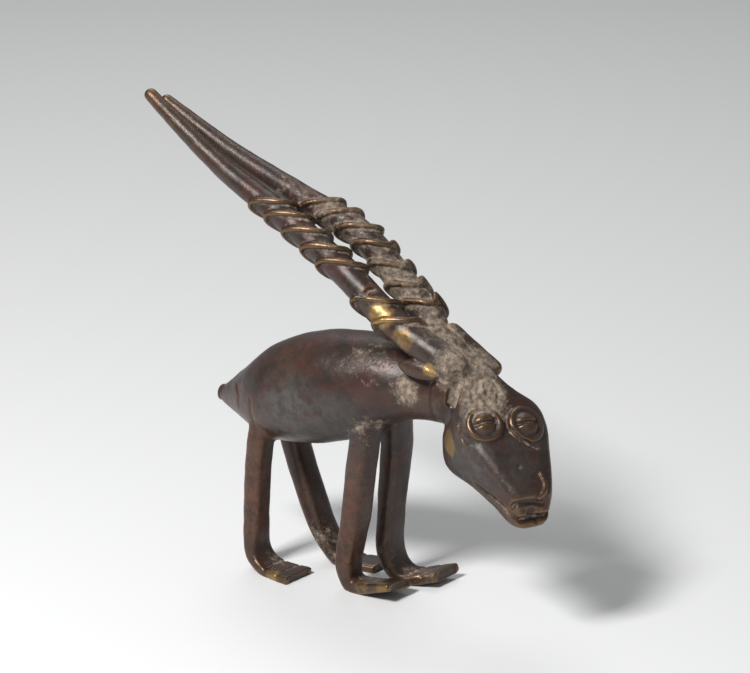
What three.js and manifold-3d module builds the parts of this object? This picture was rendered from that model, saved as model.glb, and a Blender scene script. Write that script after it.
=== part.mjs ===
// Akan gold weight: an antelope with two long ringed horns, cast in brass in one piece.
// Millimetres. +X is the way the body faces, +Y is the animal's left, +Z is up.
// The origin is on the ground, below the middle of the bounding box.
// Every form is a closed skin wrapped round a line, and all of them are joined into one solid,
// as the wax rolls, strips and threads were pressed together before the casting.

import * as THREE from 'three';
import { mergeVertices } from 'three/addons/utils/BufferGeometryUtils.js';
import Module from 'manifold-3d';

const wasm = await Module();
wasm.setup();

// Where the middle of the bounding box lies in the drawing below
const MIDDLE = { x: 3.26, y: 2.35 };

// Trunk: the line of its middle from tail to throat, and its half height and half width there
const TRUNK_SIDE = 1.0;
const TRUNK = [
  { x: -22.9, z: 25.6, high: 0.9, wide: 0.9 },
  { x: -21.2, z: 25.8, high: 1.9, wide: 1.9 },
  { x: -18.0, z: 26.6, high: 3.8, wide: 3.7 },
  { x: -10.9, z: 28.5, high: 7.7, wide: 7.2 },
  { x: -3.0, z: 30.5, high: 9.0, wide: 8.3 },
  { x: 4.5, z: 32.3, high: 8.5, wide: 8.2 },
  { x: 11.5, z: 34.2, high: 6.8, wide: 6.6 },
  { x: 17.5, z: 34.6, high: 5.0, wide: 5.0 },
  { x: 24.5, z: 34.4, high: 4.6, wide: 4.4 },
  { x: 29.0, z: 33.0, high: 3.6, wide: 4.0 }
];
const TAIL_LIP = { x: -22.6, z: 25.6, radius: 0.95, thick: 0.35 };

// Head: a wedge with a flat face, turned to the animal's right and hanging down.
// Places on it are measured from between the eyes: along the face, to the left, and out of it
const HEAD = { eyes: [34.0, -1.0, 33.0], turn: 25, droop: 48 };
const FACE = [
  { along: -13.2, right: 5.6, left: -3.0, deep: 2.6, lean: 0.0 },
  { along: -10.5, right: 5.1, left: 0.6, deep: 4.0, lean: 0.0 },
  { along: -7.8, right: 5.2, left: 2.2, deep: 5.6, lean: 0.0 },
  { along: -5.2, right: 6.2, left: 4.4, deep: 7.8, lean: 0.0 },
  { along: -2.5, right: 7.0, left: 7.5, deep: 11.9, lean: 0.0 },
  { along: 1.0, right: 7.2, left: 8.1, deep: 13.1, lean: 0.4 },
  { along: 5.0, right: 6.2, left: 6.9, deep: 9.5, lean: 0.8 },
  { along: 9.0, right: 4.6, left: 5.6, deep: 7.1, lean: 1.2 },
  { along: 12.6, right: 3.3, left: 4.3, deep: 5.4, lean: 1.8 },
  { along: 13.7, right: 2.3, left: 3.4, deep: 4.0, lean: 1.8 }
];
const EYES = [
  { along: -0.2, side: -3.6, outward: -9, size: 1.0 },
  { along: 0.9, side: 3.0, outward: 9, size: 1.05 }
];
const EYE = { ring: 2.35, thread: 0.5, ball: 1.85, flatten: 0.7 };

// How square the sections are (1 is an ellipse, less is squarer), and how far the head narrows below
const SQUARE = { head: 0.5, shin: 0.6, foot: 0.4 };
const NARROW_BELOW = 0.14;

// Rounded masses: the nape below the horns, the side of the throat, and the knob at each horn's root
const MASSES = {
  nape: { place: [21.8, 1.0, 39.3], radii: [7.4, 4.4, 3.6], slope: 42 },
  throat: { place: [24.2, -2.5, 35.2], radii: [2.5, 2.7, 3.8], slope: 8 },
  rightRoot: { place: [25.0, -2.6, 40.3], radii: [2.6, 2.4, 2.4], slope: 30 },
  leftRoot: { place: [17.2, 3.4, 44.0], radii: [2.4, 2.1, 2.2], slope: 40 }
};

// Ears: the right one a small leaf pointing back, the left one a thick roll below its horn
const RIGHT_EAR = { place: [20.2, -4.4, 39.2], radii: [3.7, 0.9, 1.4], slope: 4 };
const LEFT_EAR = { from: [20.2, 4.2, 43.1], to: [27.7, 4.4, 38.7], thick: 1.3 };

// Legs: flat wax strips, from the flank to the heel, bent forward into a foot
const LEGS = {
  hindRight: [
    { x: -11.2, y: -2.6, z: 25.0, thick: 3.5, wide: 4.2 },
    { x: -11.6, y: -3.4, z: 19.0, thick: 3.5, wide: 4.0 },
    { x: -12.3, y: -3.4, z: 8.0, thick: 3.3, wide: 4.0 },
    { x: -11.9, y: -3.5, z: 2.6, thick: 2.6, wide: 4.8 },
    { x: -9.4, y: -3.7, z: 0.7, thick: 1.8, wide: 5.4 },
    { x: -3.2, y: -4.1, z: 0.5, thick: 1.4, wide: 6.6 }
  ],
  hindLeft: [
    { x: -12.4, y: 4.6, z: 25.0, thick: 3.6, wide: 4.4 },
    { x: -11.6, y: 5.4, z: 19.0, thick: 3.7, wide: 4.5 },
    { x: -9.3, y: 5.5, z: 12.6, thick: 3.6, wide: 4.5 },
    { x: -5.4, y: 5.7, z: 4.2, thick: 3.0, wide: 4.6 },
    { x: -2.2, y: 6.1, z: 0.9, thick: 2.1, wide: 4.8 },
    { x: 4.6, y: 7.6, z: 0.5, thick: 1.4, wide: 5.4 }
  ],
  foreRight: [
    { x: 8.6, y: -1.2, z: 29.0, thick: 4.0, wide: 4.8 },
    { x: 8.1, y: -2.2, z: 23.0, thick: 3.8, wide: 4.8 },
    { x: 6.8, y: -2.2, z: 13.0, thick: 3.8, wide: 4.6 },
    { x: 4.9, y: -1.7, z: 3.2, thick: 3.2, wide: 4.2 },
    { x: 5.7, y: -1.3, z: 0.8, thick: 2.3, wide: 4.2 },
    { x: 14.3, y: -1.0, z: 2.3, thick: 1.4, wide: 6.4, roll: -9 }
  ],
  foreLeft: [
    { x: 9.4, y: 4.0, z: 29.0, thick: 3.8, wide: 5.4 },
    { x: 8.9, y: 5.2, z: 23.0, thick: 3.8, wide: 5.4 },
    { x: 7.9, y: 5.2, z: 12.0, thick: 3.3, wide: 4.8 },
    { x: 7.9, y: 5.3, z: 4.0, thick: 3.0, wide: 5.0 },
    { x: 10.2, y: 6.2, z: 0.9, thick: 2.2, wide: 5.4 },
    { x: 16.0, y: 8.8, z: 1.8, thick: 1.8, wide: 6.6 }
  ]
};

// Horns: tapered rolls, laid back over the body, each bound with slanting threads
const HORNS = {
  right: {
    line: [
      [-35.6, -1.2, 73.0],
      [-19.2, -1.7, 63.0],
      [-6.5, -2.0, 57.2],
      [5.0, -2.4, 51.0],
      [13.6, -2.6, 45.3],
      [25.0, -2.6, 40.3]
    ],
    tip: 1.0,
    bulk: 2.4,
    rings: [26.8, 30.3, 34.4, 38.6, 42.2, 50.6, 55.6],
    thread: 0.45,
    slant: 5.6
  },
  left: {
    line: [
      [-34.8, 1.6, 71.6],
      [-21.7, 2.2, 65.0],
      [-8.5, 2.7, 60.0],
      [3.5, 3.4, 55.4],
      [12.4, 3.8, 47.9],
      [17.4, 3.4, 44.2]
    ],
    tip: 0.9,
    bulk: 2.35,
    rings: [31.0, 34.4, 38.2, 42.0, 46.2, 50.4, 54.2],
    thread: 0.45,
    slant: 5.0
  }
};

// Every thread comes to a point on the horn's upper side, at this angle, and runs back from there
const WRAP = { point: 115, sharp: 1.6, sunk: 0.25, loose: 0.25 };
const BLUNT_TIP = 0.7;

// What is cut away below the feet, so that the soles are flat
const GROUND = { size: 100, depth: 10 };

// How finely the skins are drawn
const SIDES = { trunk: 22, head: 18, leg: 12, horn: 10 };

const rad = THREE.MathUtils.degToRad;

// Turn a closed surface into a solid, with its faces outwards
function solid(geometry) {
  geometry.deleteAttribute('normal');
  geometry.deleteAttribute('uv');
  const joined = mergeVertices(geometry, 1e-4);
  const corners = joined.attributes.position.array;
  let faces = new Uint32Array(joined.index.array);
  faces = faces.filter((_, i) => {
    const f = i - (i % 3);
    const [a, b, c] = [faces[f], faces[f + 1], faces[f + 2]];
    return a !== b && b !== c && c !== a;
  });
  if (volume(corners, faces) < 0) {
    for (let i = 0; i < faces.length; i += 3) {
      [faces[i + 1], faces[i + 2]] = [faces[i + 2], faces[i + 1]];
    }
  }
  return new wasm.Manifold(new wasm.Mesh({
    numProp: 3,
    vertProperties: new Float32Array(corners),
    triVerts: faces
  }));
}

function volume(corners, faces) {
  const at = (i) => new THREE.Vector3().fromArray(corners, 3 * i);
  let sum = 0;
  for (let i = 0; i < faces.length; i += 3) {
    sum += at(faces[i]).dot(at(faces[i + 1]).cross(at(faces[i + 2])));
  }
  return sum;
}

// A closed skin: every corner of a capped cylinder goes to place(along 0..1, angle, out 0..1)
function skin(sides, steps, place) {
  const shape = new THREE.CylinderGeometry(1, 1, 1, sides, steps);
  const corner = new THREE.Vector3();
  const spots = shape.attributes.position;
  for (let i = 0; i < spots.count; i += 1) {
    corner.fromBufferAttribute(spots, i);
    const out = Math.min(1, Math.hypot(corner.x, corner.z));
    const angle = Math.atan2(corner.z, corner.x);
    const spot = place(corner.y + 0.5, angle, out < 0.5 ? 0 : 1);
    spots.setXYZ(i, spot.x, spot.y, spot.z);
  }
  return solid(shape);
}

// A smooth run through the values that named stations give, at 0..1 along them
function run(stations, key) {
  const values = stations.map((s) => s[key] ?? 0);
  const last = values.length - 1;
  return (t) => {
    const place = Math.min(Math.max(t, 0), 1) * last;
    const i = Math.min(Math.floor(place), last - 1);
    const f = place - i;
    const [a, b] = [values[i], values[i + 1]];
    const before = values[Math.max(i - 1, 0)];
    const after = values[Math.min(i + 2, last)];
    const rise = (b - before) / 2;
    const fall = (after - a) / 2;
    const f2 = f * f;
    const f3 = f2 * f;
    return (2 * f3 - 3 * f2 + 1) * a + (f3 - 2 * f2 + f) * rise + (3 * f2 - 2 * f3) * b + (f3 - f2) * fall;
  };
}

// Rounded rectangle: power 1 is an ellipse, smaller is squarer
function rounded(angle, power) {
  const grow = (v) => Math.sign(v) * Math.abs(v) ** power;
  return [grow(Math.cos(angle)), grow(Math.sin(angle))];
}

function trunk() {
  const [x, z, high, wide] = ['x', 'z', 'high', 'wide'].map((key) => run(TRUNK, key));
  return skin(SIDES.trunk, 18, (t, angle, out) => new THREE.Vector3(
    x(t),
    TRUNK_SIDE + out * wide(t) * Math.cos(angle),
    z(t) + out * high(t) * Math.sin(angle)
  ));
}

function tailLip() {
  const lip = new THREE.TorusGeometry(TAIL_LIP.radius, TAIL_LIP.thick, 6, 14);
  lip.rotateY(Math.PI / 2);
  lip.translate(TAIL_LIP.x, TRUNK_SIDE, TAIL_LIP.z);
  return solid(lip);
}

// The head's own directions: down the face, to its left, and out of the face
function headFrame() {
  const turn = rad(HEAD.turn);
  const droop = rad(HEAD.droop);
  const down = new THREE.Vector3(
    Math.cos(turn) * Math.cos(droop),
    -Math.sin(turn) * Math.cos(droop),
    -Math.sin(droop)
  );
  const left = new THREE.Vector3(Math.sin(turn), Math.cos(turn), 0);
  const out = new THREE.Vector3().crossVectors(down, left);
  const place = new THREE.Vector3(...HEAD.eyes);
  return (along, side, proud) => place.clone()
    .addScaledVector(down, along)
    .addScaledVector(left, side)
    .addScaledVector(out, proud);
}

function head() {
  const on = headFrame();
  const keys = ['along', 'right', 'left', 'deep', 'lean'];
  const [along, right, left, deep, lean] = keys.map((key) => run(FACE, key));
  return skin(SIDES.head, 16, (t, angle, out) => {
    const [u, v] = rounded(angle, SQUARE.head);
    const under = (1 - v) / 2;
    const middle = (left(t) - right(t)) / 2;
    const side = out * u * (1 - NARROW_BELOW * under) * (left(t) + right(t)) / 2;
    return on(along(t) + lean(t) * (2 * under - 1), middle + side, deep(t) * (out * v - 1) / 2);
  });
}

// A rounded mass, its long radius sloping down to the front
function lump({ place, radii, slope }) {
  const mass = new THREE.SphereGeometry(1, 12, 7);
  mass.scale(...radii);
  mass.rotateY(rad(slope));
  mass.translate(...place);
  return solid(mass);
}

// A straight roll with round ends
function bar({ from, to, thick }) {
  const [start, end] = [new THREE.Vector3(...from), new THREE.Vector3(...to)];
  const ahead = end.clone().sub(start);
  const roll = new THREE.CapsuleGeometry(thick, ahead.length(), 3, 10);
  roll.applyQuaternion(new THREE.Quaternion().setFromUnitVectors(
    new THREE.Vector3(0, 1, 0),
    ahead.clone().normalize()
  ));
  const middle = start.add(end).multiplyScalar(0.5);
  roll.translate(middle.x, middle.y, middle.z);
  return solid(roll);
}

// An eye: a ring of thread round a ball
function eye(place) {
  const on = headFrame();
  const lean = rad(place.outward);
  const wrap = (shape) => {
    const spots = shape.attributes.position;
    for (let i = 0; i < spots.count; i += 1) {
      const [u, v, w] = [spots.getX(i), spots.getY(i), spots.getZ(i)].map((n) => n * place.size);
      const across = v * Math.cos(lean) + w * Math.sin(lean);
      const proud = w * Math.cos(lean) - v * Math.sin(lean);
      const spot = on(place.along + u, place.side + across, proud);
      spots.setXYZ(i, spot.x, spot.y, spot.z);
    }
    return solid(shape);
  };
  const ring = wrap(new THREE.TorusGeometry(EYE.ring, EYE.thread, 5, 13));
  const ball = new THREE.SphereGeometry(EYE.ball, 10, 5);
  ball.scale(1, 1, EYE.flatten);
  return ring.add(wrap(ball));
}

function leg(stations) {
  const line = new THREE.CatmullRomCurve3(stations.map((s) => new THREE.Vector3(s.x, s.y, s.z)));
  const [thick, wide, roll] = ['thick', 'wide', 'roll'].map((key) => run(stations, key));
  return skin(SIDES.leg, 15, (t, angle, out) => {
    const spot = line.getPoint(t);
    const ahead = line.getTangent(t);
    const across = new THREE.Vector3(0, 1, 0).applyAxisAngle(new THREE.Vector3(1, 0, 0), rad(roll(t)));
    const front = new THREE.Vector3().crossVectors(ahead, across).normalize();
    const [u, v] = rounded(angle, t > 0.8 ? SQUARE.foot : SQUARE.shin);
    return spot
      .addScaledVector(across, out * u * wide(t) / 2)
      .addScaledVector(front, out * v * thick(t) / 2);
  });
}

// A horn's line, with its directions at a distance from the tip
function hornLine(horn) {
  const line = new THREE.CatmullRomCurve3(horn.line.map((p) => new THREE.Vector3(...p)));
  const length = line.getLength();
  return {
    length,
    at(distance) {
      const t = Math.min(Math.max(distance / length, 0), 1);
      const spot = line.getPointAt(t);
      const ahead = line.getTangentAt(t);
      const near = new THREE.Vector3(0, -1, 0).addScaledVector(ahead, ahead.y).normalize();
      const top = new THREE.Vector3().crossVectors(near, ahead).normalize();
      const thick = horn.tip + (horn.bulk - horn.tip) * Math.sin(t * Math.PI / 2) ** 0.8;
      return { spot, ahead, near, top, thick };
    }
  };
}

function hornRoll(horn) {
  const line = hornLine(horn);
  return skin(SIDES.horn, 18, (t, angle, out) => {
    const { spot, near, top, thick } = line.at(t * line.length);
    const blunt = t === 0 ? BLUNT_TIP : 1;
    return spot
      .addScaledVector(top, out * blunt * thick * Math.cos(angle))
      .addScaledVector(near, out * blunt * thick * Math.sin(angle));
  });
}

function thread(horn, distance) {
  const line = hornLine(horn);
  const loop = new THREE.TorusGeometry(1, horn.thread, 5, 12);
  const spots = loop.attributes.position;
  for (let i = 0; i < spots.count; i += 1) {
    const [a, b, lift] = [spots.getX(i), spots.getY(i), spots.getZ(i)];
    const angle = Math.atan2(b, a);
    const swell = Math.hypot(a, b) - 1;
    const back = 1 - ((1 + Math.cos(angle - rad(WRAP.point))) / 2) ** WRAP.sharp;
    const { spot, ahead, near, top, thick } = line.at(distance + horn.slant * back);
    const out = thick + WRAP.sunk * horn.thread + WRAP.loose * back ** 3 + swell;
    spot
      .addScaledVector(top, out * Math.cos(angle))
      .addScaledVector(near, out * Math.sin(angle))
      .addScaledVector(ahead, lift);
    spots.setXYZ(i, spot.x, spot.y, spot.z);
  }
  return solid(loop);
}

function antelope() {
  let body = trunk().add(tailLip()).add(head()).add(lump(RIGHT_EAR)).add(bar(LEFT_EAR));
  for (const mass of Object.values(MASSES)) {
    body = body.add(lump(mass));
  }
  for (const place of EYES) {
    body = body.add(eye(place));
  }
  for (const stations of Object.values(LEGS)) {
    body = body.add(leg(stations));
  }
  for (const horn of Object.values(HORNS)) {
    body = body.add(hornRoll(horn));
    for (const distance of horn.rings) {
      body = body.add(thread(horn, distance));
    }
  }
  const below = new THREE.BoxGeometry(GROUND.size, GROUND.size, GROUND.depth);
  below.translate(0, 0, -GROUND.depth / 2);
  return body.subtract(solid(below));
}

function mesh(name, manifold, material) {
  const drawn = manifold.getMesh();
  const geometry = new THREE.BufferGeometry();
  geometry.setAttribute('position', new THREE.BufferAttribute(drawn.vertProperties, 3));
  geometry.setIndex(new THREE.BufferAttribute(drawn.triVerts, 1));
  geometry.computeVertexNormals();
  const piece = new THREE.Mesh(geometry, material);
  piece.name = name;
  piece.position.set(-MIDDLE.x, -MIDDLE.y, 0);
  return piece;
}

const brass = new THREE.MeshStandardMaterial({ color: 0x4a2f22, roughness: 0.38, metalness: 0.85 });

const goldweight = new THREE.Group();
goldweight.add(mesh('antelope_goldweight', antelope(), brass));

export default goldweight;
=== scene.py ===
# Akan gold weight: an antelope with two long ringed horns laid back over its body.
# Beeswax rolls, strips and threads were pressed together, packed in clay, melted out and
# replaced by brass in one pour, so everything below ends as one piece of metal.

import math

import bpy
import numpy as np
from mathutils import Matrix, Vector, noise


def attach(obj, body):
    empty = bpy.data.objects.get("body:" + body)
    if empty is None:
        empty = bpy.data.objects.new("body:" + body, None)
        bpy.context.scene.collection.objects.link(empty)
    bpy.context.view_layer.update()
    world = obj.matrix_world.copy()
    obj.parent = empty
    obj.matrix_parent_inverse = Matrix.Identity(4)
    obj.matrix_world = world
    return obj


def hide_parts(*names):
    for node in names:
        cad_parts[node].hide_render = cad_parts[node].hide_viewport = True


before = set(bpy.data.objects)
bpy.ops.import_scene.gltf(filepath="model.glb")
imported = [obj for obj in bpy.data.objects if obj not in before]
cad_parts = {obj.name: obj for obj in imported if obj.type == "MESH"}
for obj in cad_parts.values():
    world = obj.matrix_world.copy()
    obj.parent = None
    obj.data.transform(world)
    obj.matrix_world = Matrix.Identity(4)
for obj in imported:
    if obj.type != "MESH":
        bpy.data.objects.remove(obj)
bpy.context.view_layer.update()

# Belly, back and tail
# One lump of beeswax rolled between the hands, thin at both ends, and pinched at the tail into
# a small round lip. All sizes are in millimetres, and x is forward, y to the animal's left, z up.

MM = 0.001
DRAWING_MIDDLE = np.array([3.26, 2.35, 0.0])
TRUNK_SIDE = 1.0
# x, z, half height, half width
TRUNK = [
    (-22.9, 25.6, 0.9, 0.9),
    (-21.2, 25.8, 1.9, 1.9),
    (-18.0, 26.6, 3.8, 3.7),
    (-10.9, 28.5, 7.7, 7.2),
    (-3.0, 30.5, 9.0, 8.3),
    (4.5, 32.3, 8.5, 8.2),
    (11.5, 34.2, 6.8, 6.6),
    (17.5, 34.6, 5.0, 5.0),
    (24.5, 34.4, 4.6, 4.4),
    (29.0, 33.0, 3.6, 4.0),
]
TAIL_LIP = {"place": (-22.6, 1.0, 25.6), "radius": 0.95, "thick": 0.35}


def run(values):
    """Smooth values for places 0..1 along the stations that gave these ones."""
    values = np.array(values, float)
    last = len(values) - 1

    def at(along):
        place = np.clip(along, 0, 1) * last
        i = np.minimum(place.astype(int), last - 1)
        f = place - i
        before, a, b, after = (values[np.clip(i + k, 0, last)] for k in (-1, 0, 1, 2))
        rise, fall = (b - before) / 2, (after - a) / 2
        held = (2 * f**3 - 3 * f**2 + 1) * a + (3 * f**2 - 2 * f**3) * b
        return held + (f**3 - 2 * f**2 + f) * rise + (f**3 - f**2) * fall

    return at


def columns(stations):
    return [run(values) for values in zip(*stations)]


def skin(place, steps, sides):
    """A closed tube: place(along 0..1, angle) gives its points, and a fan closes each end."""
    along = np.linspace(0, 1, steps)[:, None]
    angle = np.linspace(0, 2 * np.pi, sides, endpoint=False)[None, :]
    rings = place(along, angle)
    points = np.vstack([rings.reshape(-1, 3), rings[0].mean(0), rings[-1].mean(0)])
    here = np.arange(sides)
    there = (here + 1) % sides
    faces = []
    for step in range(steps - 1):
        low, high = step * sides, (step + 1) * sides
        faces += np.stack([low + here, low + there, high + there, high + here], 1).tolist()
    tail, tip = steps * sides, steps * sides + 1
    faces += [(int(b), int(a), tail) for a, b in zip(here, there)]
    first = (steps - 1) * sides
    faces += [(first + int(a), first + int(b), tip) for a, b in zip(here, there)]
    return points, faces


def spots(x, y, z):
    return np.stack(np.broadcast_arrays(x, y, z), axis=-1)


def trunk():
    x, z, high, wide = columns(TRUNK)
    return skin(
        lambda t, a: spots(x(t), TRUNK_SIDE + wide(t) * np.cos(a), z(t) + high(t) * np.sin(a)),
        steps=120,
        sides=96,
    )


def loop(place, radius, thick):
    """A closed ring of thread, standing across x."""
    ring = np.linspace(0, 2 * np.pi, 48, endpoint=False)[:, None]
    round_it = np.linspace(0, 2 * np.pi, 14, endpoint=False)[None, :]
    out = radius + thick * np.cos(round_it)
    points = np.array(place) + spots(thick * np.sin(round_it), out * np.cos(ring), out * np.sin(ring))
    count = points.shape[:2]
    at = np.arange(count[0] * count[1]).reshape(count)
    across, along = np.roll(at, -1, 1), np.roll(at, -1, 0)
    both = np.roll(across, -1, 0)
    return points.reshape(-1, 3), np.stack([at, across, both, along], -1).reshape(-1, 4).tolist()


body_wax = [trunk()]
fine_wax = [loop(**TAIL_LIP)]

# Head
# A wedge of wax with a flat face, set on the neck turned to the animal's right and hanging.
# Its own directions are down the face, to its left, and out of the face.

HEAD = {"eyes": (34.0, -1.0, 33.0), "turn": 25, "droop": 48}
# along the face, half width right, half width left, depth, lean of the front
FACE = [
    (-13.2, 5.6, -3.0, 2.6, 0.0),
    (-10.5, 5.1, 0.6, 4.0, 0.0),
    (-7.8, 5.2, 2.2, 5.6, 0.0),
    (-5.2, 6.2, 4.4, 7.8, 0.0),
    (-2.5, 7.0, 7.5, 11.9, 0.0),
    (1.0, 7.2, 8.1, 13.1, 0.4),
    (5.0, 6.2, 6.9, 9.5, 0.8),
    (9.0, 4.6, 5.6, 7.1, 1.2),
    (12.6, 3.3, 4.3, 5.4, 1.8),
    (13.7, 2.3, 3.4, 4.0, 1.8),
]
HEAD_SQUARE = 0.5
NARROW_BELOW = 0.14

turn, droop = math.radians(HEAD["turn"]), math.radians(HEAD["droop"])
face_down = np.array([
    math.cos(turn) * math.cos(droop),
    -math.sin(turn) * math.cos(droop),
    -math.sin(droop),
])
face_left = np.array([math.sin(turn), math.cos(turn), 0.0])
face_out = np.cross(face_down, face_left)


def on_face(along, side, proud):
    place = spots(along, side, proud)
    return np.array(HEAD["eyes"]) + place @ np.array([face_down, face_left, face_out])


def rounded(angle, power):
    """Rounded rectangle: power 1 is an ellipse, less is squarer."""
    across, up = np.cos(angle), np.sin(angle)
    return np.sign(across) * np.abs(across) ** power, np.sign(up) * np.abs(up) ** power


def head():
    along, right, left, deep, lean = columns(FACE)

    def place(t, angle):
        u, v = rounded(angle, HEAD_SQUARE)
        under = (1 - v) / 2
        middle = (left(t) - right(t)) / 2
        side = u * (1 - NARROW_BELOW * under) * (left(t) + right(t)) / 2
        return on_face(along(t) + lean(t) * (2 * under - 1), middle + side, deep(t) * (v - 1) / 2)

    return skin(place, steps=110, sides=96)


body_wax.append(head())

# Nape, throat and ears
# Pellets of wax that fill out the neck below the horns and close each horn's root, a leaf for
# the right ear, and a thick short roll for the left one, laid below its horn.

# place, radii, slope down to the front
PELLETS = {
    "nape": ((21.8, 1.0, 39.3), (7.4, 4.4, 3.6), 42),
    "throat": ((24.2, -2.5, 35.2), (2.5, 2.7, 3.8), 8),
    "right horn root": ((25.0, -2.6, 40.3), (2.6, 2.4, 2.4), 30),
    "left horn root": ((17.2, 3.4, 44.0), (2.4, 2.1, 2.2), 40),
}
RIGHT_EAR = ((20.2, -4.4, 39.2), (3.7, 0.9, 1.4), 4)
LEFT_EAR = {"start": (20.2, 4.2, 43.1), "end": (27.7, 4.4, 38.7), "thick": 1.3}


def pellet(place, radii, slope):
    tilt = math.radians(slope)

    def at(t, angle):
        polar = t * np.pi
        x = -radii[0] * np.cos(polar)
        y = radii[1] * np.sin(polar) * np.cos(angle)
        z = radii[2] * np.sin(polar) * np.sin(angle)
        turned = spots(x * math.cos(tilt) + z * math.sin(tilt), y, z * math.cos(tilt) - x * math.sin(tilt))
        return np.array(place) + turned

    return skin(at, steps=48, sides=48)


def roll(start, end, thick):
    """A straight roll with round ends."""
    start, end = np.array(start), np.array(end)
    length = np.linalg.norm(end - start)
    ahead = (end - start) / length
    side = np.cross(ahead, (0, 0, 1))
    side /= np.linalg.norm(side)
    up = np.cross(side, ahead)

    def at(t, angle):
        along = -thick + t * (length + 2 * thick)
        past = np.maximum(np.maximum(-along, along - length), 0)
        radius = np.sqrt(np.maximum(thick**2 - past**2, 0))
        return start + along[..., None] * ahead + (radius * np.cos(angle))[..., None] * side + (
            radius * np.sin(angle)
        )[..., None] * up

    return skin(at, steps=60, sides=32)


body_wax += [pellet(*values) for values in PELLETS.values()]
fine_wax += [pellet(*RIGHT_EAR), roll(**LEFT_EAR)]

# Eyes
# A pellet of wax inside a ring of thread, pressed on the face and slit across like a coffee bean.

# along the face, to its left, turned outwards, size
EYES = [(-0.2, -3.6, -9, 1.0), (0.9, 3.0, 9, 1.05)]
EYE = {"ring": 2.35, "thread": 0.5, "ball": 1.85, "flatten": 0.7}


def on_eye(along, side, outward, size, u, v, w):
    """The place u along, v across and w proud of an eye's middle."""
    lean = math.radians(outward)
    across = (v * math.cos(lean) + w * math.sin(lean)) * size
    proud = (w * math.cos(lean) - v * math.sin(lean)) * size
    return on_face(along + u * size, side + across, proud)


def eye(along, side, outward, size):
    ring_points, ring_faces = loop((0, 0, 0), EYE["ring"], EYE["thread"])
    ball_points, ball_faces = pellet((0, 0, 0), (EYE["ball"],) * 3, 0)
    ring = on_eye(along, side, outward, size, ring_points[:, 1], ring_points[:, 2], ring_points[:, 0])
    ball = on_eye(along, side, outward, size, *(ball_points * (1, 1, EYE["flatten"])).T)
    return [(ring, ring_faces), (ball, ball_faces)]


for values in EYES:
    fine_wax += eye(*values)

# Legs
# Four flat strips of wax, bent forward at the heel and cut off square, so each foot is the end of
# its own leg. The front pair step with their toes a little off the ground.

# x, y, z, thick, wide, roll of the foot
LEGS = {
    "hind right": [
        (-11.2, -2.6, 25.0, 3.5, 4.2, 0),
        (-11.6, -3.4, 19.0, 3.5, 4.0, 0),
        (-12.3, -3.4, 8.0, 3.3, 4.0, 0),
        (-11.9, -3.5, 2.6, 2.6, 4.8, 0),
        (-9.4, -3.7, 0.7, 1.8, 5.4, 0),
        (-3.2, -4.1, 0.5, 1.4, 6.6, 0),
    ],
    "hind left": [
        (-12.4, 4.6, 25.0, 3.6, 4.4, 0),
        (-11.6, 5.4, 19.0, 3.7, 4.5, 0),
        (-9.3, 5.5, 12.6, 3.6, 4.5, 0),
        (-5.4, 5.7, 4.2, 3.0, 4.6, 0),
        (-2.2, 6.1, 0.9, 2.1, 4.8, 0),
        (4.6, 7.6, 0.5, 1.4, 5.4, 0),
    ],
    "fore right": [
        (8.6, -1.2, 29.0, 4.0, 4.8, 0),
        (8.1, -2.2, 23.0, 3.8, 4.8, 0),
        (6.8, -2.2, 13.0, 3.8, 4.6, 0),
        (4.9, -1.7, 3.2, 3.2, 4.2, 0),
        (5.7, -1.3, 0.8, 2.3, 4.2, 0),
        (14.3, -1.0, 2.3, 1.4, 6.4, -9),
    ],
    "fore left": [
        (9.4, 4.0, 29.0, 3.8, 5.4, 0),
        (8.9, 5.2, 23.0, 3.8, 5.4, 0),
        (7.9, 5.2, 12.0, 3.3, 4.8, 0),
        (7.9, 5.3, 4.0, 3.0, 5.0, 0),
        (10.2, 6.2, 0.9, 2.2, 5.4, 0),
        (16.0, 8.8, 1.8, 1.8, 6.6, 0),
    ],
}
SHIN_SQUARE, FOOT_SQUARE = 0.6, 0.36


def smooth_line(corners):
    """A centripetal spline through the corners, for places 0..1 along them."""
    corners = np.array(corners, float)
    before, after = 2 * corners[0] - corners[1], 2 * corners[-1] - corners[-2]
    ring = np.vstack([before, corners, after])
    gaps = np.sqrt(np.linalg.norm(np.diff(ring, axis=0), axis=1))

    def at(along):
        place = np.clip(np.ravel(along), 0, 1) * (len(corners) - 1)
        i = np.minimum(place.astype(int), len(corners) - 2)
        f = (place - i)[:, None]
        a, b, c, d = (ring[i + k] for k in range(4))
        ab, bc, cd = (gaps[i + k][:, None] for k in range(3))
        leave = ((b - a) / ab - (c - a) / (ab + bc) + (c - b) / bc) * bc
        arrive = ((c - b) / bc - (d - b) / (bc + cd) + (d - c) / cd) * bc
        held = (2 * f**3 - 3 * f**2 + 1) * b + (3 * f**2 - 2 * f**3) * c
        return held + (f**3 - 2 * f**2 + f) * leave + (f**3 - f**2) * arrive

    return at


def along_line(line, t):
    """Places and unit directions on a line, shaped to be joined with rings of points."""
    step = 1e-3
    ahead = line(np.minimum(t + step, 1)) - line(np.maximum(t - step, 0))
    ahead /= np.linalg.norm(ahead, axis=1, keepdims=True)
    return line(t)[:, None, :], ahead[:, None, :]


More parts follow.
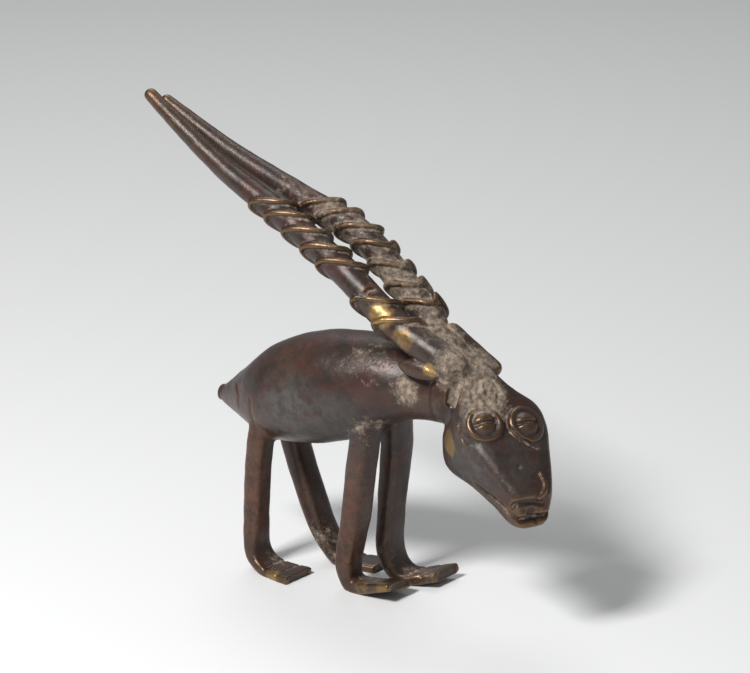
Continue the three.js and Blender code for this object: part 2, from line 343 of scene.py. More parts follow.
def leg(stations):
    line = smooth_line([s[:3] for s in stations])
    thick, wide, twist = columns([s[3:] for s in stations])

    def place(t, angle):
        spot, ahead = along_line(line, t)
        tilt = np.radians(twist(t))
        across = spots(0 * tilt, np.cos(tilt), np.sin(tilt))
        front = np.cross(ahead, across)
        front /= np.linalg.norm(front, axis=-1, keepdims=True)
        square = SHIN_SQUARE + (FOOT_SQUARE - SHIN_SQUARE) * np.clip((t - 0.7) / 0.15, 0, 1)
        u, v = rounded(angle, square)
        return spot + across * (u * wide(t) / 2)[..., None] + front * (v * thick(t) / 2)[..., None]

    return skin(place, steps=130, sides=72)


body_wax += [leg(stations) for stations in LEGS.values()]

# Horns
# Two long tapered rolls of wax, their roots pressed on the nape and their tips far back.

HORNS = {
    "right": {
        "line": [
            (-35.6, -1.2, 73.0),
            (-19.2, -1.7, 63.0),
            (-6.5, -2.0, 57.2),
            (5.0, -2.4, 51.0),
            (13.6, -2.6, 45.3),
            (25.0, -2.6, 40.3),
        ],
        "tip": 1.0,
        "bulk": 2.4,
        "rings": [26.8, 30.3, 34.4, 38.6, 42.2, 50.6, 55.6],
        "slant": 5.6,
    },
    "left": {
        "line": [
            (-34.8, 1.6, 71.6),
            (-21.7, 2.2, 65.0),
            (-8.5, 2.7, 60.0),
            (3.5, 3.4, 55.4),
            (12.4, 3.8, 47.9),
            (17.4, 3.4, 44.2),
        ],
        "tip": 0.9,
        "bulk": 2.35,
        "rings": [31.0, 34.4, 38.2, 42.0, 46.2, 50.4, 54.2],
        "slant": 5.0,
    },
}


def horn_line(horn):
    """Evenly spaced places down a horn's middle, their distances from the tip, and its half thickness."""
    line = smooth_line(horn["line"])
    dense = line(np.linspace(0, 1, 1500))
    travelled = np.concatenate([[0], np.cumsum(np.linalg.norm(np.diff(dense, axis=0), axis=1))])
    distance = np.linspace(0, travelled[-1], 200)
    places = np.stack([np.interp(distance, travelled, dense[:, k]) for k in range(3)], 1)
    thick = horn["tip"] + (horn["bulk"] - horn["tip"]) * np.sin(distance / distance[-1] * np.pi / 2) ** 0.8
    return places, distance, thick


def horn_roll(horn):
    places, distance, thick = horn_line(horn)
    ahead = np.gradient(places, axis=0)
    ahead /= np.linalg.norm(ahead, axis=1, keepdims=True)
    near = np.array([0, -1, 0]) + ahead * ahead[:, 1:2]
    near /= np.linalg.norm(near, axis=1, keepdims=True)
    top = np.cross(near, ahead)
    blunt = np.sqrt(np.clip(distance / thick[0], 0, 1) * (2 - np.clip(distance / thick[0], 0, 1)))
    radius = thick * (0.35 + 0.65 * blunt)

    def place(t, angle):
        ring = top[:, None] * np.cos(angle)[..., None] + near[:, None] * np.sin(angle)[..., None]
        return places[:, None] + ring * radius[:, None, None]

    return skin(place, steps=len(distance), sides=48)


body_wax += [horn_roll(horn) for horn in HORNS.values()]

# Horn threads
# Thin wax threads laid round each horn, every one bent to a point on its upper side and slack
# behind it. Each bears on the horn, so each becomes a standing ring in the brass.

# millimetres, degrees and plain factors; the point and the slack end are angles round the horn
THREAD = {
    "Thread": 0.47,
    "Point": 115.0,
    "Sharp": 1.6,
    "Sunk": 0.25,
    "Loose": 0.3,
    "End": -28.0,
    "Swell": 0.3,
    "Wander": 0.35,
}
# How far each thread's slack end is pulled back to the tip
PULLED = {
    "right": [0.0, 0.0, 0.2, 0.0, 0.0, 0.4, 0.3],
    "left": [0.0, 0.2, 0.0, 0.9, 1.5, 2.3, 2.7],
}


def thread_tree():
    """Geometry Nodes: one loop for each marked distance, wrapped round the horn's line."""
    tree = bpy.data.node_groups.new("horn threads", "GeometryNodeTree")
    sockets = tree.interface
    sockets.new_socket("Marks", in_out="INPUT", socket_type="NodeSocketGeometry")
    sockets.new_socket("Horn", in_out="INPUT", socket_type="NodeSocketObject")
    sockets.new_socket("Metal", in_out="INPUT", socket_type="NodeSocketMaterial")
    for name in ["Slant", *THREAD]:
        sockets.new_socket(name, in_out="INPUT", socket_type="NodeSocketFloat")
    sockets.new_socket("Threads", in_out="OUTPUT", socket_type="NodeSocketGeometry")
    given = tree.nodes.new("NodeGroupInput").outputs

    def step(kind, inputs=None, **settings):
        node = tree.nodes.new(kind)
        for key, value in settings.items():
            setattr(node, key, value)
        for key, value in (inputs or {}).items():
            socket = node.inputs[key]
            if isinstance(value, bpy.types.NodeSocket):
                tree.links.new(value, socket)
            else:
                socket.default_value = value
        return node

    def sum_of(kind, *values):
        return step("ShaderNodeMath", dict(enumerate(values)), operation=kind).outputs[0]

    def arrow(kind, *values):
        node = step("ShaderNodeVectorMath", dict(enumerate(values)), operation=kind)
        return node.outputs["Value" if kind == "DOT_PRODUCT" else "Vector"]

    def scaled(vector, amount):
        node = step("ShaderNodeVectorMath", {0: vector, "Scale": amount}, operation="SCALE")
        return node.outputs["Vector"]

    circle = step("GeometryNodeCurvePrimitiveCircle", {"Resolution": 64, "Radius": 1.0})
    standing = step("GeometryNodeTransform", {
        "Geometry": circle.outputs["Curve"],
        "Rotation": (0.0, -math.pi / 2, 0.0),
    })
    placed = step("GeometryNodeInstanceOnPoints", {
        "Points": given["Marks"],
        "Instance": standing.outputs["Geometry"],
    })
    loops = step("GeometryNodeRealizeInstances", {"Geometry": placed.outputs["Instances"]})
    where = step("ShaderNodeSeparateXYZ", {0: step("GeometryNodeInputPosition").outputs[0]})
    pulled = step("GeometryNodeInputNamedAttribute", {"Name": "pulled"}, data_type="FLOAT")

    angle = sum_of("ARCTAN2", where.outputs["Y"], where.outputs["Z"])
    from_point = sum_of("COSINE", sum_of("SUBTRACT", angle, sum_of("RADIANS", given["Point"])))
    forward = sum_of("POWER", sum_of("MULTIPLY_ADD", from_point, 0.5, 0.5), given["Sharp"])
    back = sum_of("SUBTRACT", 1.0, forward)
    from_end = sum_of("COSINE", sum_of("SUBTRACT", angle, sum_of("RADIANS", given["End"])))
    slack = sum_of("POWER", sum_of("MAXIMUM", from_end, 0.0), 8.0)

    wander = step("ShaderNodeTexNoise", {
        "Vector": step("GeometryNodeInputPosition").outputs[0],
        "Scale": 2.6,
        "Detail": 0.0,
    })
    astray = sum_of("MULTIPLY", sum_of("SUBTRACT", wander.outputs[0], 0.5), given["Wander"])
    down = sum_of("MULTIPLY_ADD", given["Slant"], back, where.outputs["X"])
    held = sum_of("MULTIPLY", pulled.outputs["Attribute"], slack)
    distance = sum_of("ADD", sum_of("SUBTRACT", down, held), astray)
    sampled = step("GeometryNodeSampleCurve", {
        "Curves": step("GeometryNodeObjectInfo", {"Object": given["Horn"]}).outputs["Geometry"],
        "Value": step("GeometryNodeInputRadius").outputs[0],
        "Length": distance,
    }, mode="LENGTH")
    ahead = sampled.outputs["Tangent"]
    sideways = step("ShaderNodeSeparateXYZ", {0: ahead}).outputs["Y"]
    near = arrow("NORMALIZE", arrow("ADD", (0.0, -1.0, 0.0), scaled(ahead, sideways)))
    top = arrow("CROSS_PRODUCT", near, ahead)
    sunk = sum_of("MULTIPLY_ADD", given["Thread"], given["Sunk"], sampled.outputs["Value"])
    out = sum_of("MULTIPLY_ADD", given["Loose"], sum_of("POWER", back, 3.0), sunk)
    ring = arrow(
        "ADD",
        scaled(top, sum_of("MULTIPLY", out, sum_of("COSINE", angle))),
        scaled(near, sum_of("MULTIPLY", out, sum_of("SINE", angle))),
    )
    wrapped = step("GeometryNodeSetPosition", {
        "Geometry": loops.outputs["Geometry"],
        "Position": arrow("ADD", sampled.outputs["Position"], ring),
    })
    swollen = step("GeometryNodeSetCurveRadius", {
        "Curve": wrapped.outputs["Geometry"],
        "Radius": sum_of("MULTIPLY_ADD", slack, given["Swell"], 1.0),
    })
    section = step("GeometryNodeCurvePrimitiveCircle", {"Resolution": 14, "Radius": given["Thread"]})
    threads = step("GeometryNodeCurveToMesh", {
        "Curve": swollen.outputs["Curve"],
        "Profile Curve": section.outputs["Curve"],
    })
    whole = step("GeometryNodeRealizeInstances", {"Geometry": threads.outputs["Mesh"]})
    metal = step("GeometryNodeSetMaterial", {
        "Geometry": whole.outputs["Geometry"],
        "Material": given["Metal"],
    })
    end = tree.nodes.new("NodeGroupOutput")
    tree.links.new(metal.outputs["Geometry"], end.inputs["Threads"])
    return tree


def horn_curve(name, horn):
    """The horn's middle as a curve in millimetres, its radius the horn's half thickness."""
    places, _, thick = horn_line(horn)
    curve = bpy.data.curves.new(name, "CURVE")
    curve.dimensions = "3D"
    spline = curve.splines.new("POLY")
    spline.points.add(len(places) - 1)
    for point, place, half in zip(spline.points, places, thick):
        point.co = (*place, 1.0)
        point.radius = half
    return bpy.data.objects.new(name, curve)


def threads(side, horn, tree):
    marks = bpy.data.meshes.new(f"{side} horn marks")
    marks.from_pydata([(distance, 0, 0) for distance in horn["rings"]], [], [])
    marks.attributes.new("pulled", "FLOAT", "POINT").data.foreach_set("value", PULLED[side])
    wrap = bpy.data.objects.new(f"{side} horn threads", marks)
    line = horn_curve(f"{side} horn line", horn)
    for thing in (wrap, line):
        bpy.context.scene.collection.objects.link(thing)
    modifier = wrap.modifiers.new("horn threads", "NODES")
    modifier.node_group = tree
    named = {s.name: s.identifier for s in tree.interface.items_tree if s.in_out == "INPUT"}
    modifier[named["Horn"]] = line
    modifier[named["Slant"]] = horn["slant"]
    for name, value in THREAD.items():
        modifier[named[name]] = value
    bpy.context.view_layer.update()
    graph = bpy.context.evaluated_depsgraph_get()
    made = bpy.data.meshes.new_from_object(wrap.evaluated_get(graph))
    points = np.empty(len(made.vertices) * 3)
    made.vertices.foreach_get("co", points)
    faces = [list(face.vertices) for face in made.polygons]
    for thing in (wrap, line):
        bpy.data.objects.remove(thing)
    return points.reshape(-1, 3), faces


wrapping = thread_tree()
fine_wax += [threads(side, horn, wrapping) for side, horn in HORNS.items()]

# The casting
# The finished wax, joined with a warm blade so its inner corners are soft, then cast. Its soles
# were rubbed flat on a stone so that it stands.

BODY_GRAIN = 0.24
FINE_GRAIN = 0.155
SOFT_CORNERS = {"times": 26, "hollow": 0.6, "ridge": 0.02}
SOFT_THREADS = {"times": 3, "hollow": 0.5, "ridge": 0.2}


def grid_normals(points, quads):
    a, b, c, d = (points[quads[:, k]] for k in range(4))
    face = np.cross(c - a, d - b)
    total = np.stack([
        sum(np.bincount(quads[:, k], face[:, axis], len(points)) for k in range(4)) for axis in range(3)
    ], 1)
    return total / np.maximum(np.linalg.norm(total, axis=1, keepdims=True), 1e-12)


def pull_to_neighbours(values, quads):
    """Each point's neighbours' mean value less its own."""
    if values.ndim == 1:
        return pull_to_neighbours(values[:, None], quads)[:, 0]
    here = quads.ravel()
    there = np.roll(quads, -1, axis=1).ravel()
    count = np.bincount(here, minlength=len(values)) + np.bincount(there, minlength=len(values))
    total = np.stack([
        np.bincount(here, values[there, k], len(values)) + np.bincount(there, values[here, k], len(values))
        for k in range(values.shape[1])
    ], 1)
    return total / np.maximum(count, 1)[:, None] - values


def soften(points, quads, times, hollow, ridge):
    """Rubs the surface: inner corners fill by one share of the way, and ridges wear by another."""
    points = points.copy()
    for turn_number in range(times):
        if turn_number % 5 == 0:
            normals = grid_normals(points, quads)
        pull = pull_to_neighbours(points, quads)
        filling = (pull * normals).sum(1, keepdims=True) > 0
        points += pull * np.where(filling, hollow, ridge)
    return points


def melt(name, parts, grain):
    """Joins closed skins into one even grid of points and quads, as wax melts together."""
    points, faces, count = [], [], 0
    for part_points, part_faces in parts:
        points.append(part_points)
        faces += [[count + i for i in face] for face in part_faces]
        count += len(part_points)
    mesh = bpy.data.meshes.new(name)
    mesh.from_pydata(((np.vstack(points) - DRAWING_MIDDLE) * MM).tolist(), [], faces)
    lump = bpy.data.objects.new(name, mesh)
    bpy.context.scene.collection.objects.link(lump)
    remesh = lump.modifiers.new("melt", "REMESH")
    remesh.mode = "VOXEL"
    remesh.voxel_size = grain * MM
    graph = bpy.context.evaluated_depsgraph_get()
    made = bpy.data.meshes.new_from_object(lump.evaluated_get(graph))
    bpy.data.objects.remove(lump)
    places = np.empty(len(made.vertices) * 3)
    made.vertices.foreach_get("co", places)
    quads = np.empty(len(made.polygons) * 4, int)
    made.polygons.foreach_get("vertices", quads)
    return places.reshape(-1, 3) / MM + DRAWING_MIDDLE, quads.reshape(-1, 4)


body, body_quads = melt("body wax", body_wax, BODY_GRAIN)
body = soften(body, body_quads, **SOFT_CORNERS)
form, quads = melt("antelope wax", [(body, body_quads.tolist()), *fine_wax], FINE_GRAIN)
form = soften(form, quads, **SOFT_THREADS)
print("points", len(form), "quads", len(quads))

# Tool marks
# What the caster drew, pressed and nicked in the wax, and what the founder's file and wear left.

# line of places, half width, depth; a depth below 0 stands proud
STROKES = {
    "crease on the right horn": ([(9.4, -5.4, 48.4), (10.2, -4.9, 49.0), (10.5, -3.9, 49.6), (11.0, -3.0, 49.9)], 0.4, 0.35),
    "tail's first crease": ([(-16.2, -3.4, 29.2), (-14.9, -4.5, 28.1), (-15.1, -4.3, 26.4)], 0.35, 0.12),
    "tail's second crease": ([(-11.1, -6.2, 28.5), (-11.2, -5.9, 26.5), (-11.4, -4.9, 24.2)], 0.35, 0.14),
    "behind the throat": ([(27.2, -4.1, 39.4), (26.6, -3.9, 37.4), (26.5, -4.2, 35.4)], 0.7, 0.7),
}
# along the face, to its left
FACE_LINES = {
    "crease below the left eye": ([(1.6, 0.1), (2.4, 0.8), (3.4, 1.6), (4.2, 2.5), (4.8, 3.5)], 0.3, 0.3),
    "crease over the nose": ([(12.5, -2.7), (12.6, -1.4), (12.7, 0.2), (13.0, 2.0)], 0.3, 0.35),
    "fold beside the nose": ([(8.9, 2.6), (10.3, 2.8), (11.5, 2.4), (12.4, 1.3)], 0.3, -0.3),
    "first fold by the right eye": ([(-1.6, -6.6), (-0.2, -6.9), (1.2, -6.6), (2.2, -5.9)], 0.2, 0.16),
    "second fold by the right eye": ([(-1.6, -7.2), (-0.2, -7.5), (1.4, -7.2), (2.6, -6.4)], 0.2, 0.14),
    "arch on the forehead": (
        [(-4.0, -4.0), (-5.9, -3.6), (-7.2, -2.6), (-7.5, -0.9), (-6.8, 0.4), (-5.2, 0.7), (-3.4, -0.1)],
        0.3,
        0.28,
    ),
}
# along the face, to its left, radius, depth
FACE_PITS = [
    (-6.5, -2.4, 0.45, 0.4),
    (-5.4, -2.8, 0.4, 0.3),
    (-6.2, -1.2, 0.4, 0.35),
    (-4.9, -1.3, 0.45, 0.35),
    (-5.2, -0.2, 0.4, 0.3),
    (-4.0, -3.2, 0.45, 0.4),
    (-3.6, -1.9, 0.4, 0.3),
    (-5.4, -2.0, 0.4, -0.2),
    (7.3, -0.4, 0.3, 0.25),
    (13.9, 0.1, 0.55, 0.45),
    (14.6, 1.1, 0.45, 0.35),
]


def distance_to_line(points, line):
    """Every point's distance from a chain of straight stretches."""
    nearest = np.full(len(points), np.inf)
    for start, end in zip(np.array(line[:-1], float), np.array(line[1:], float)):
        ahead = end - start
        along = np.clip((points - start) @ ahead / (ahead @ ahead), 0, 1)
        nearest = np.minimum(nearest, np.linalg.norm(points - start - along[:, None] * ahead, axis=1))
    return nearest


def press(form, outward, distance, width, depth, where=1.0):
    """Sinks a groove or pit of that half width and depth where the distance is small."""
    reach = np.clip(1 - (distance / (1.8 * width)) ** 2, 0, 1) ** 2
    return form - outward * (depth * reach * where)[:, None]


outward = grid_normals(form, quads)
for line, width, depth in STROKES.values():
    form = press(form, outward, distance_to_line(form, line), width, depth)

from_eyes = form - np.array(HEAD["eyes"])
face_flat = np.stack([from_eyes @ face_down, from_eyes @ face_left], 1)
in_front = (from_eyes @ face_out > -4.5) & (outward @ face_out > 0.25)
for line, width, depth in FACE_LINES.values():
    form = press(form, outward, distance_to_line(face_flat, line), width, depth, in_front)
for along, side, radius, depth in FACE_PITS:
    away = np.linalg.norm(face_flat - (along, side), axis=1)
    form = press(form, outward, away, radius, depth, in_front)

# Mouth and eye slits, cut with a blade
MOUTH = [(6.9, -6.0), (8.6, -5.0), (10.2, -4.0), (12.2, -3.2), (14.0, -2.9), (15.5, -2.8)]
MOUTH_CUT = {"width": 0.34, "depth": 0.5}
EYE_SLIT = {"half": 1.5, "width": 0.3, "depth": 0.55}

head_side = np.stack([from_eyes @ face_down, from_eyes @ face_out], 1)
of_head = (np.abs(from_eyes @ face_left) < 9) & (from_eyes @ face_down > 4)
form = press(form, outward, distance_to_line(head_side, MOUTH), MOUTH_CUT["width"], MOUTH_CUT["depth"], of_head)
for along, side, outward_lean, size in EYES:
    slit = [(along, side - EYE_SLIT["half"]), (along, side + EYE_SLIT["half"])]
    away = distance_to_line(face_flat, slit)
    form = press(form, outward, away, EYE_SLIT["width"], EYE_SLIT["depth"], in_front)

# Creases across the feet where the strip was bent, and the worn-in ends of the toes
# leg, place along it, half width, depth
FOOT_CREASES = [
    ("hind right", 0.84, 0.3, 0.16),
    ("hind right", 0.93, 0.25, 0.14),
    ("fore left", 0.86, 0.3, 0.16),
    ("fore left", 0.93, 0.25, 0.12),
    ("fore right", 0.9, 0.3, 0.1),
    ("hind left", 0.88, 0.3, 0.12),
]
TOE_FRAME = {"across": 0.62, "thick": 0.42, "depth": 0.16}

for name, place, width, depth in FOOT_CREASES:
    middle = smooth_line([s[:3] for s in LEGS[name]])([place])[0]
    half = LEGS[name][-1][4] * 0.62
    line = [middle + (0, -half, 0.8), middle + (0, half, 0.8)]
    away = np.hypot(form[:, 0] - middle[0], np.maximum(np.abs(form[:, 1] - middle[1]) - half, 0))
    on_top = (outward[:, 2] > 0.3) & (form[:, 2] < middle[2] + 2.5)
    form = press(form, outward, away, width, depth, on_top)
for stations in LEGS.values():
    x, y, z, thick, wide, _ = stations[-1]
    on_end = (outward[:, 0] > 0.8) & (np.abs(form[:, 0] - x) < 0.8)
    inside = np.maximum(np.abs(form[:, 1] - y) / (wide / 2), np.abs(form[:, 2] - z) / (thick / 2))
    form[:, 0] -= on_end * TOE_FRAME["depth"] * np.clip((0.78 - inside) / 0.1, 0, 1)

# The unevenness of hand-worked wax, in two sizes of lump
WAX_LUMPS = [(2.6, 0.07), (0.9, 0.022)]

outward = grid_normals(form, quads)
for size, height in WAX_LUMPS:
    lumps = np.array([noise.noise(Vector(place / size)) for place in form])
    form = form + outward * (lumps * height)[:, None]
form[:, 2] = np.maximum(form[:, 2], 0)

# Patina
# Brass gone dark brown and maroon under handling and dust, polished back to gold on what stands
# proud, orange on the legs and horn tips, and grey earth left in whatever lies low.

# place, radius, how much
EARTH_PLACES = [
    ((27.0, -1.0, 40.4), 5.0, 1.0),
    ((30.0, -1.5, 37.0), 4.0, 0.9),
    ((19.5, 0.8, 43.5), 4.5, 0.8),
    ((1.0, 3.0, 57.5), 7.0, 0.6),
    ((11.0, 3.8, 50.0), 7.0, 0.7),
    ((-8.0, 2.5, 60.5), 5.0, 0.5),
    ((17.5, -4.3, 34.9), 2.4, 0.9),
    ((10.2, -3.5, 38.8), 4.5, 0.5),
    ((10.0, -3.0, 28.0), 3.0, 0.6),
    ((9.4, -1.5, 23.5), 2.5, 0.4),
    ((-8.5, -2.5, 2.0), 2.6, 0.5),
    ((9.0, 1.5, 3.0), 3.5, 0.5),
    ((-4.5, 3.4, 3.5), 4.0, 0.6),
    ((13.0, 5.0, 2.0), 3.6, 0.5),
]
GOLD_PLACES = [
    ((26.3, -4.9, 29.2), 1.9, 1.0),
    ((22.7, -4.7, 39.9), 1.1, 1.0),
    ((19.9, 3.2, 43.4), 1.3, 0.7),
    ((-6.5, -7.0, 0.9), 1.6, 0.8),
    ((8.5, -3.6, 1.8), 1.8, 0.6),
    ((13.0, -3.8, 2.4), 1.4, 0.7),
    ((10.5, -5.0, 48.0), 1.2, 0.3),
    ((13.6, -5.0, 46.6), 2.4, 0.8),
    ((17.6, -5.0, 43.5), 2.0, 0.7),
]
ORANGE_PLACES = [
    ((-34.5, -1.2, 72.6), 2.6, 0.9),
    ((-12.0, -4.8, 12.0), 7.0, 0.8),
    ((-12.0, -4.8, 22.0), 5.0, 0.7),
    ((6.0, -4.2, 8.0), 6.0, 0.8),
    ((7.0, -4.2, 17.0), 5.0, 0.7),
    ((-3.7, -5.3, 36.3), 4.0, 0.45),
    ((20.0, -4.4, 33.0), 4.0, 0.35),
]
# Painted grey sheen: grey patches on the lower right flank, the right cheek and the face that stand in for the
# sheen of reflected light there
SHEEN_PLACES = [
    ((-2.5, -7.0, 28.5), 5.0, 0.9),
    ((6.0, -6.5, 27.0), 5.0, 0.6),
    ((31.0, -6.0, 27.0), 4.5, 0.7),
    ((34.0, -2.0, 27.0), 5.0, 0.4),
]


def spread(places):
    """How much of a colour each point has, from soft round patches."""
    amount = np.zeros(len(form))
    for place, radius, share in places:
        away = np.linalg.norm(form - np.array(place), axis=1) / radius
        amount = np.maximum(amount, share * np.clip(1.6 - away, 0, 1))
    return amount


def hollowness(times):
    """How far the surface rises to meet its own smoothed shape: above 0 in hollows, below on ridges."""
    smooth = form.copy()
    for _ in range(times):
        smooth += 0.7 * pull_to_neighbours(smooth, quads)
    return ((smooth - form) * outward).sum(1)


outward = grid_normals(form, quads)
fine_hollow, wide_hollow = hollowness(6), hollowness(60)
SHARES = {
    "hollow": np.clip(wide_hollow / 0.35, 0, 1) * 0.6 + np.clip(fine_hollow / 0.05, 0, 1) * 0.4,
    "ridge": np.clip(-fine_hollow / 0.035, 0, 1) * 0.6 + np.clip(-wide_hollow / 0.3, 0, 1) * 0.4,
    "earth": spread(EARTH_PLACES),
    "gold": spread(GOLD_PLACES),
    "orange": spread(ORANGE_PLACES),
    "grey_sheen": spread(SHEEN_PLACES),
    "soot": np.zeros(len(form)),
}

FEWER = 0.245

skin_mesh = bpy.data.meshes.new("antelope")
skin_mesh.from_pydata(((form - DRAWING_MIDDLE) * MM).tolist(), [], quads.tolist())
for name, share in SHARES.items():
    skin_mesh.attributes.new(name, "FLOAT", "POINT").data.foreach_set("value", share.astype(np.float32))
antelope = bpy.data.objects.new("antelope", skin_mesh)
bpy.context.scene.collection.objects.link(antelope)
fewer = antelope.modifiers.new("fewer", "DECIMATE")
fewer.ratio = FEWER
casting = bpy.data.meshes.new_from_object(antelope.evaluated_get(bpy.context.evaluated_depsgraph_get()))
antelope.modifiers.remove(fewer)
antelope.data = casting
casting.polygons.foreach_set("use_smooth", [True] * len(casting.polygons))
print("triangles", len(casting.polygons), [a.name for a in casting.attributes])


CHOCOLATE, MAROON, UMBER = (0.030, 0.019, 0.015, 1), (0.056, 0.022, 0.017, 1), (0.046, 0.034, 0.027, 1)
# The first grey on the next line is a painted sheen of reflected light, not a colour of the metal
SHEEN_GREY, ORANGE_BROWN, DUST = (0.075, 0.072, 0.068, 1), (0.120, 0.050, 0.026, 1), (0.130, 0.110, 0.092, 1)
DARK_EARTH, PALE_EARTH, SOOT = (0.110, 0.082, 0.060, 1), (0.400, 0.315, 0.235, 1), (0.008, 0.006, 0.005, 1)
BRONZE, GOLD = (0.200, 0.125, 0.070, 1), (0.420, 0.270, 0.105, 1)


def patina():
    brass = bpy.data.materials.new("patinated brass")
    brass.use_nodes = True
    tree = brass.node_tree
    metal = tree.nodes["Principled BSDF"]
    place = tree.nodes.new("ShaderNodeTexCoord").outputs["Object"]

    def step(kind, inputs=None, **settings):
        node = tree.nodes.new(kind)
        for key, value in settings.items():
            setattr(node, key, value)
        for key, value in (inputs or {}).items():
            socket = node.inputs[key]
            if isinstance(value, bpy.types.NodeSocket):
                tree.links.new(value, socket)
            else:
                socket.default_value = value
        return node

    def share(name):
        return step("ShaderNodeAttribute", attribute_name=name).outputs["Fac"]

    def cloud(size, detail=3.0, rough=0.55, seed=0.0):
        """Noise 0..1 in lumps of that many millimetres."""
        return step("ShaderNodeTexNoise", {
            "Vector": place,
            "Scale": 1 / (size * MM),
            "Detail": detail,
            "Roughness": rough,
            "W": seed,
        }, noise_dimensions="4D").outputs["Fac"]

    def sums(kind, *values, clamp=False):
        return step("ShaderNodeMath", dict(enumerate(values)), operation=kind, use_clamp=clamp).outputs[0]

    def between(value, low, high):
        """0 below low, 1 above high, and smooth between."""
        return step("ShaderNodeMapRange", {
            "Value": value,
            "From Min": low,
            "From Max": high,
        }, interpolation_type="SMOOTHSTEP").outputs[0]

    def mix(amount, under, over):
        return step("ShaderNodeMix", {0: amount, 6: under, 7: over}, data_type="RGBA").outputs[2]

    grain = cloud(0.45, detail=7.0, rough=0.72, seed=7.7)
    flecks = cloud(1.5, detail=8.0, rough=0.7, seed=1.3)

    # brown skin, clouded from chocolate to maroon, greyed by a film of dust, and with a painted grey sheen on the
    # lower right flank, the right cheek and the face
    colour = mix(between(cloud(3.0, detail=5.0), 0.38, 0.62), CHOCOLATE, MAROON)
    colour = mix(between(cloud(4.5, detail=5.0, seed=3.1), 0.42, 0.66), colour, UMBER)
    # painted grey sheen on the lower right flank, the right cheek and the face, broken up by the flecks
    reach = sums("MULTIPLY", share("grey_sheen"), between(flecks, 0.35, 0.6))
    colour = mix(reach, colour, SHEEN_GREY)
    reach = sums("MULTIPLY", share("orange"), between(cloud(1.1, detail=7.0, rough=0.68, seed=9.2), 0.35, 0.66))
    colour = mix(reach, colour, ORANGE_BROWN)
    film = between(sums("MULTIPLY_ADD", flecks, 0.6, sums("MULTIPLY", grain, 0.4)), 0.5, 0.72)
    colour = mix(sums("MULTIPLY", film, 0.3), colour, DUST)
    pitted = between(cloud(0.7, detail=6.0, rough=0.7, seed=12.0), 0.6, 0.72)
    colour = mix(sums("MULTIPLY", pitted, 0.6), colour, SOOT)

    # earth settles low, and clings in patches
    settled = sums("MULTIPLY_ADD", share("hollow"), 0.7, sums("MULTIPLY", share("earth"), 0.8))
    broken = sums("MULTIPLY_ADD", sums("SUBTRACT", flecks, 0.5), 1.5, settled)
    uneven = sums("MULTIPLY_ADD", sums("SUBTRACT", grain, 0.5), 0.9, broken)
    earthy = between(uneven, 0.35, 0.75)
    earth = mix(between(cloud(0.8, detail=7.0, rough=0.7, seed=2.0), 0.35, 0.65), DARK_EARTH, PALE_EARTH)
    colour = mix(sums("MULTIPLY", earthy, 0.88), colour, earth)

    # metal shows where hands and cloth rub, bronze on every edge and gold where it is bare
    rubbed = sums("MULTIPLY_ADD", sums("SUBTRACT", grain, 0.5), 0.8, share("ridge"))
    bronze = sums("MULTIPLY", between(rubbed, 0.25, 0.85), sums("SUBTRACT", 1.0, earthy))
    colour = mix(sums("MULTIPLY", bronze, 0.75), colour, BRONZE)
    bare = sums("MULTIPLY_ADD", sums("SUBTRACT", flecks, 0.5), 1.3, share("gold"))
    golden = between(bare, 0.35, 0.95)
    colour = mix(sums("MULTIPLY", golden, 0.8), colour, GOLD)
    colour = mix(share("soot"), colour, SOOT)
    tree.links.new(colour, metal.inputs["Base Color"])

    shine = sums("MULTIPLY_ADD", sums("MAXIMUM", bronze, golden), 0.65, 0.25, clamp=True)
    shine = sums("MULTIPLY", shine, sums("SUBTRACT", 1.0, earthy), clamp=True)
    tree.links.new(shine, metal.inputs["Metallic"])
    skin_polish = sums("MULTIPLY_ADD", flecks, 0.35, 0.16)
    dull = sums("MULTIPLY_ADD", earthy, 0.55, skin_polish, clamp=True)
    tree.links.new(dull, metal.inputs["Roughness"])

    crumbs = sums("MULTIPLY", grain, sums("MULTIPLY_ADD", earthy, 0.9, 0.5))
    height = sums("MULTIPLY_ADD", flecks, 0.9, crumbs)
    bump = step("ShaderNodeBump", {"Height": height, "Strength": 0.6, "Distance": 0.16 * MM})
    tree.links.new(bump.outputs["Normal"], metal.inputs["Normal"])
    return brass


casting.materials.clear()
casting.materials.append(patina())
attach(antelope, "root")
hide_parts("antelope_goldweight")

# Table and light
# A plain pale table, a small soft key light high on the left in front, and a broader, weaker one high behind.

CAMERA = {"azimuth": 38.0, "elevation": 17.5, "distance": 520.0, "target": (8.65, 0.0, 41.1), "mm_per_px": 1 / 6.6}
IMAGE_WIDTH = 750
SENSOR = 36.0

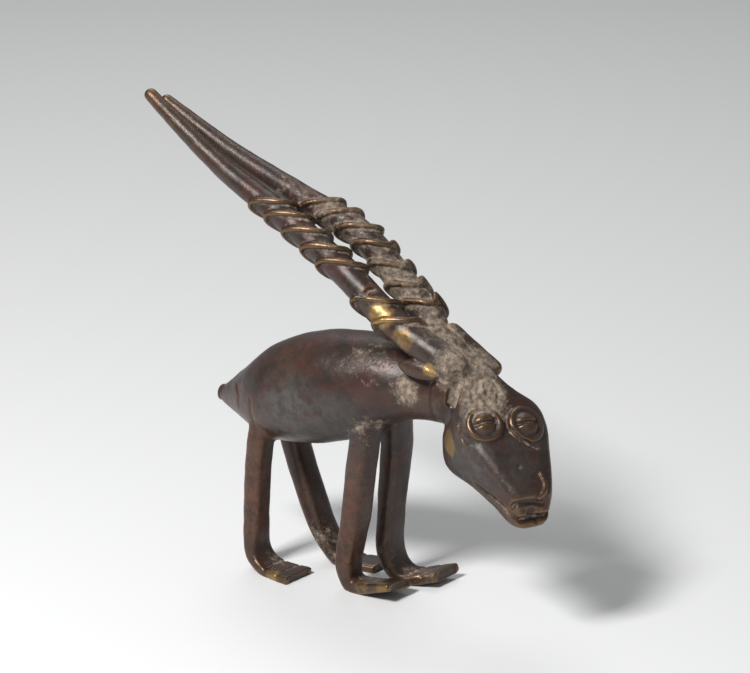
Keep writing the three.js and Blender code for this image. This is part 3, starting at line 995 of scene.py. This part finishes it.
azimuth, elevation = math.radians(CAMERA["azimuth"]), math.radians(CAMERA["elevation"])
toward_camera = Vector((
    math.sin(azimuth) * math.cos(elevation),
    -math.cos(azimuth) * math.cos(elevation),
    math.sin(elevation),
))
target = Vector(np.array(CAMERA["target"]) - DRAWING_MIDDLE) * MM
camera = bpy.data.objects.new("camera", bpy.data.cameras.new("camera"))
camera.data.sensor_width = SENSOR
camera.data.lens = SENSOR * CAMERA["distance"] / (IMAGE_WIDTH * CAMERA["mm_per_px"])
camera.data.clip_start, camera.data.clip_end = 0.01, 20.0
camera.location = target + toward_camera * CAMERA["distance"] * MM
camera.rotation_mode = "QUATERNION"
camera.rotation_quaternion = (-toward_camera).to_track_quat("-Z", "Y")
bpy.context.scene.collection.objects.link(camera)
bpy.context.scene.camera = camera

floor_mesh = bpy.data.meshes.new("table")
reach = 4.0
floor_mesh.from_pydata([(-reach, -reach, 0), (reach, -reach, 0), (reach, reach, 0), (-reach, reach, 0)], [], [(0, 1, 2, 3)])
table = bpy.data.objects.new("table", floor_mesh)
pale = bpy.data.materials.new("pale table")
pale.use_nodes = True
pale.node_tree.nodes["Principled BSDF"].inputs["Base Color"].default_value = (0.78, 0.78, 0.78, 1)
pale.node_tree.nodes["Principled BSDF"].inputs["Roughness"].default_value = 0.7
floor_mesh.materials.append(pale)
bpy.context.scene.collection.objects.link(table)


def soft_light(name, place, aim, size, watts):
    lamp = bpy.data.lights.new(name, "AREA")
    lamp.shape = "SQUARE"
    lamp.size = size
    lamp.energy = watts
    thing = bpy.data.objects.new(name, lamp)
    thing.location = place
    thing.rotation_mode = "QUATERNION"
    thing.rotation_quaternion = (Vector(aim) - Vector(place)).to_track_quat("-Z", "Y")
    bpy.context.scene.collection.objects.link(thing)


KEY_FROM = Vector((-0.04, -0.645, 0.762))

soft_light("key", KEY_FROM * 0.5, (0, 0, 0.035), 0.11, 2.6)
soft_light("overhead", (-0.25, 0.25, 0.5), (0, 0, 0.04), 0.3, 0.8)

world = bpy.data.worlds.new("studio")
world.use_nodes = True
world.node_tree.nodes["Background"].inputs["Color"].default_value = (0.97, 0.99, 1.0, 1)
world.node_tree.nodes["Background"].inputs["Strength"].default_value = 0.24
bpy.context.scene.world = world
bpy.context.scene.view_settings.view_transform = "Standard"
